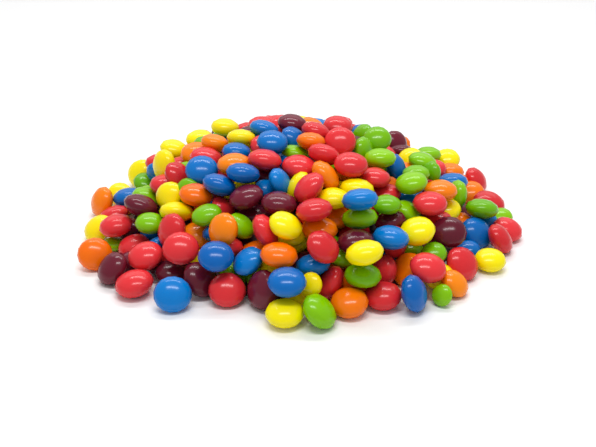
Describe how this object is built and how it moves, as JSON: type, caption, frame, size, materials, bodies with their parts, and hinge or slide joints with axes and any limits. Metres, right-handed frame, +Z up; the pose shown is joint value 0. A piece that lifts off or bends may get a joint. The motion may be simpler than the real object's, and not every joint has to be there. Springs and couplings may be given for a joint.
{
  "type": "heap of candy coated chocolates",
  "caption": "Low round heap of glossy candy coated chocolates in mixed colours, piled loosely, with an uneven edge and a flat underside to rest on.",
  "frame": {"origin": "on the flat underside, under the middle of the heap's width and depth", "axes": "+Z up, the side that the picture shows faces -Y, +X to the right of it"},
  "size_m": [0.1796, 0.1839, 0.0426],
  "materials": {
    "red_shell": "glossy polished sugar shell, red",
    "yellow_shell": "glossy polished sugar shell, yellow",
    "orange_shell": "glossy polished sugar shell, orange",
    "green_shell": "glossy polished sugar shell, green",
    "blue_shell": "glossy polished sugar shell, blue",
    "purple_shell": "glossy polished sugar shell, dark purple"
  },
  "bodies": {
    "root": {"candy_heap": "red_shell"}
  },
  "joints": []
}
